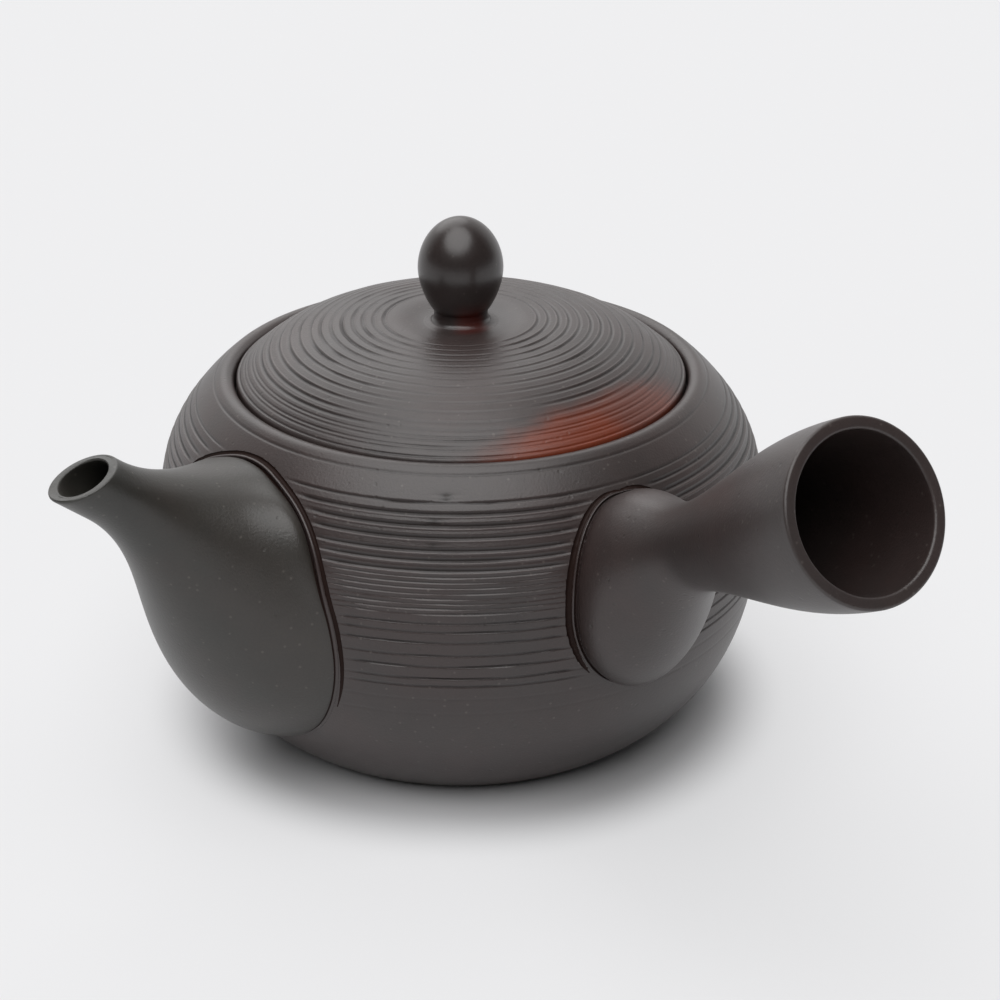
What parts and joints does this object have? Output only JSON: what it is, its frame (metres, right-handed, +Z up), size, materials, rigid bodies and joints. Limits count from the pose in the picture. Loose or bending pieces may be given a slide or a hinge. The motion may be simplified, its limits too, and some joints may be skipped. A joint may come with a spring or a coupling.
{
  "type": "side-handled teapot",
  "caption": "Round unglazed stoneware teapot with comb lines, a wide-rooted spout, a hollow flared side handle and a loose knobbed lid, for brewing and pouring green tea.",
  "frame": {"origin": "centre of the flat base, on the pot's axis", "axes": "+Z up along the pot's axis, -Y along the handle, the spout to -X"},
  "size_m": [0.1436, 0.1773, 0.0959],
  "materials": {
    "body_clay": "unglazed matt stoneware, dark grey-brown",
    "lid_clay": "unglazed matt stoneware with a red flame mark",
    "seam_slip": "fired slip, darker and redder than the body"
  },
  "bodies": {
    "pot": {"pot_body": "body_clay", "spout": "body_clay", "spout_seam": "seam_slip", "handle": "body_clay", "handle_seam": "seam_slip", "strainer": "body_clay"},
    "lid": {"lid": "lid_clay", "lid_knob": "lid_clay", "knob_seam": "seam_slip"}
  },
  "joints": [
    {"name": "lid_lift", "type": "slide", "parent": "pot", "child": "lid", "axis": [0, 0, 1], "range_m": [0, 0.06]}
  ]
}
